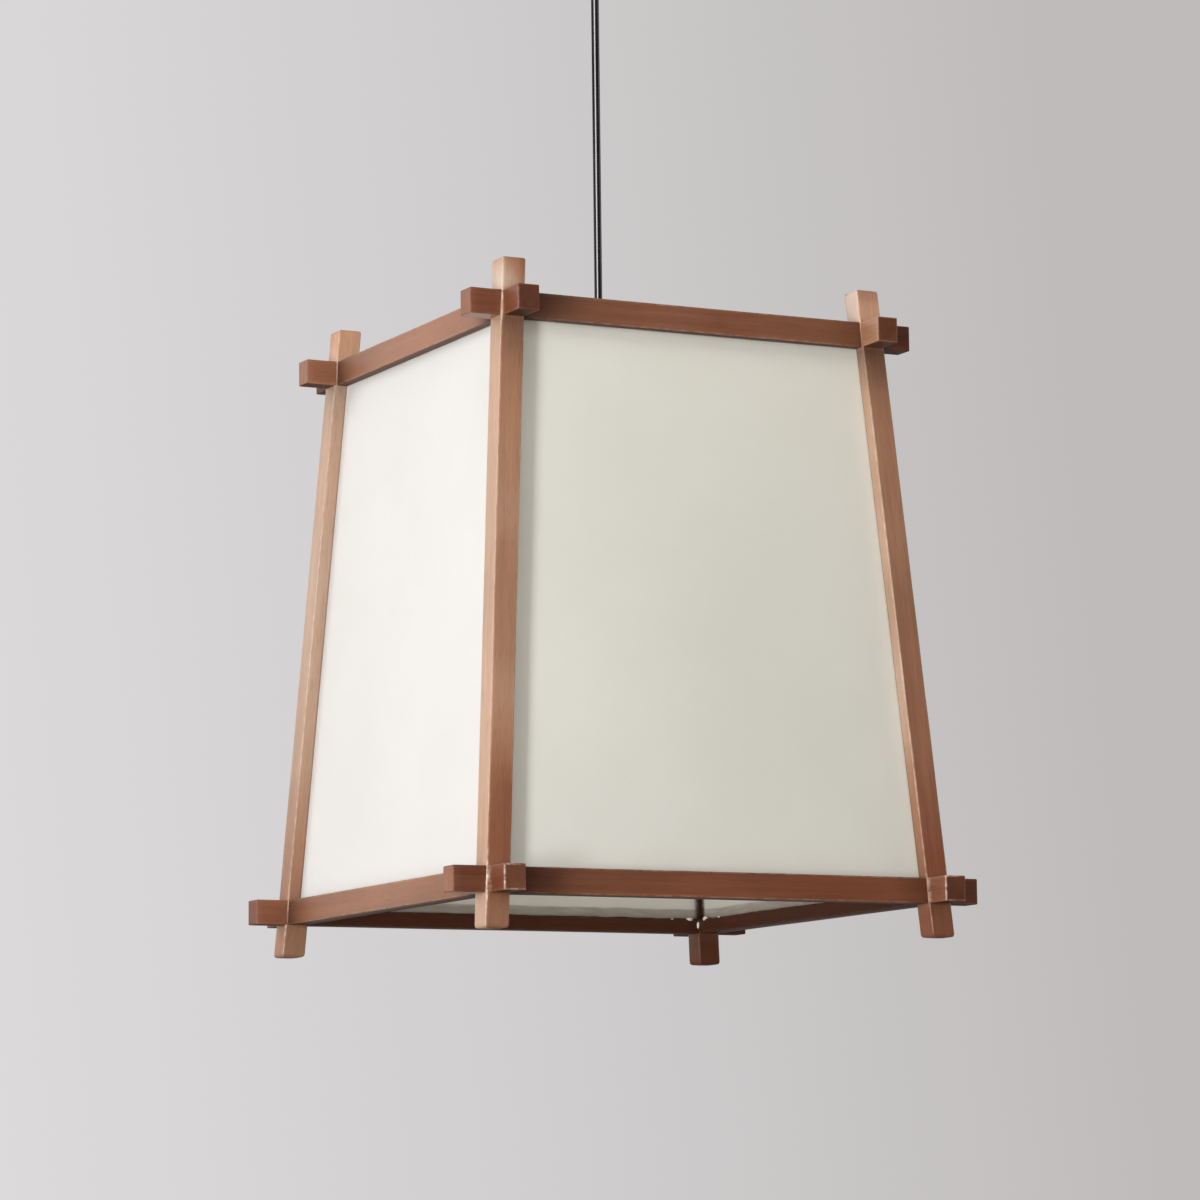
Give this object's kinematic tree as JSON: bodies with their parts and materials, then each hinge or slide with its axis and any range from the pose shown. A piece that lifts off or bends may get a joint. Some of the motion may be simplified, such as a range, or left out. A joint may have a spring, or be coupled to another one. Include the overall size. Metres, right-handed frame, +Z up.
{
  "type": "pendant lamp",
  "caption": "Square tapered wooden lantern pendant with projecting post and rail ends and cream fabric panels, hung on a round cord from a ceiling canopy, with a screw-in bulb.",
  "frame": {"origin": "in the ceiling plane on the cord's axis, midway between the bracket's two fixing holes", "axes": "+Z up out of the ceiling plane, X along the front face and the bracket's hole line, Y from front to back"},
  "size_m": [0.35, 0.35, 0.664],
  "materials": {
    "stained_wood": "red-brown stained beech, satin lacquer",
    "dowel_wood": "plain beech dowel",
    "panel_fabric": "cream smooth fabric laminated on a thin translucent sheet",
    "zinc_steel": "zinc-plated",
    "black_nylon": "moulded",
    "black_bakelite": "moulded phenolic",
    "porcelain": "glazed porcelain",
    "brass": "bright",
    "bulb_nickel": "nickel-plated",
    "bulb_plastic": "moulded white",
    "opal_globe": "opal diffuser",
    "cord_pvc": "glossy PVC sheath",
    "canopy_paint": "satin black powder coat",
    "cap_nut_black": "black plated",
    "terminal_plastic": "moulded"
  },
  "bodies": {
    "ceiling_mount": {"ceiling_bracket": "zinc_steel", "canopy_studs": "zinc_steel", "canopy": "canopy_paint", "cap_nuts": "cap_nut_black", "upper_cord_grip": "black_nylon", "grip_nut": "zinc_steel", "terminal_block": "terminal_plastic", "cord_top": "cord_pvc"},
    "neck": {"cord_neck": "cord_pvc"},
    "hanging_cord": {"cord": "cord_pvc"},
    "lamp": {"post_front_left": "stained_wood", "post_front_right": "stained_wood", "post_back_left": "stained_wood", "post_back_right": "stained_wood", "top_rail_front": "stained_wood", "top_rail_back": "stained_wood", "top_rail_left": "stained_wood", "top_rail_right": "stained_wood", "bottom_rail_front": "stained_wood", "bottom_rail_back": "stained_wood", "bottom_rail_left": "stained_wood", "bottom_rail_right": "stained_wood", "top_front_end_left": "stained_wood", "top_front_end_right": "stained_wood", "top_back_end_left": "stained_wood", "top_back_end_right": "stained_wood", "bottom_front_end_left": "stained_wood", "bottom_front_end_right": "stained_wood", "bottom_back_end_left": "stained_wood", "bottom_back_end_right": "stained_wood", "top_left_end_front": "stained_wood", "top_left_end_back": "stained_wood", "top_right_end_front": "stained_wood", "top_right_end_back": "stained_wood", "bottom_left_end_front": "stained_wood", "bottom_left_end_back": "stained_wood", "bottom_right_end_front": "stained_wood", "bottom_right_end_back": "stained_wood", "panel_front": "panel_fabric", "panel_back": "panel_fabric", "panel_left": "panel_fabric", "panel_right": "panel_fabric", "joint_dowels": "dowel_wood", "hanger_bar": "zinc_steel", "hanger_screws": "zinc_steel", "nipple": "zinc_steel", "lock_nuts": "zinc_steel", "lower_cord_grip": "black_nylon", "lampholder_cap": "black_bakelite", "lampholder_body": "black_bakelite", "lampholder_insert": "porcelain", "screw_shell": "brass", "centre_contact": "brass"},
    "bulb_contact": {"bulb_tip": "brass"},
    "bulb": {"bulb_insulator": "black_bakelite", "bulb_cap": "bulb_nickel", "bulb_body": "bulb_plastic", "bulb_globe": "opal_globe"}
  },
  "joints": [
    {"name": "swing_x", "type": "hinge", "parent": "ceiling_mount", "child": "neck", "pos_m": [0, 0, -0.043], "axis": [1, 0, 0], "range_deg": [-30, 30]},
    {"name": "swing_y", "type": "hinge", "parent": "neck", "child": "hanging_cord", "pos_m": [0, 0, -0.063], "axis": [0, 1, 0], "range_deg": [-30, 30]},
    {"name": "turn", "type": "hinge", "parent": "hanging_cord", "child": "lamp", "pos_m": [0, 0, -0.263], "axis": [0, 0, 1], "range_deg": [-90, 90], "stiffness_Nm_per_rad": 0.003},
    {"name": "bulb_travel", "type": "slide", "parent": "lamp", "child": "bulb_contact", "axis": [0, 0, -1], "range_m": [0, 0.01815]},
    {"name": "bulb_turn", "type": "hinge", "parent": "bulb_contact", "child": "bulb", "pos_m": [0, 0, -0.34], "axis": [0, 0, -1], "range_deg": [0, 1800]}
  ],
  "couplings": [
    {"joint": "bulb_travel", "follows": "bulb_turn", "m_per_rad": 0.00057757}
  ]
}
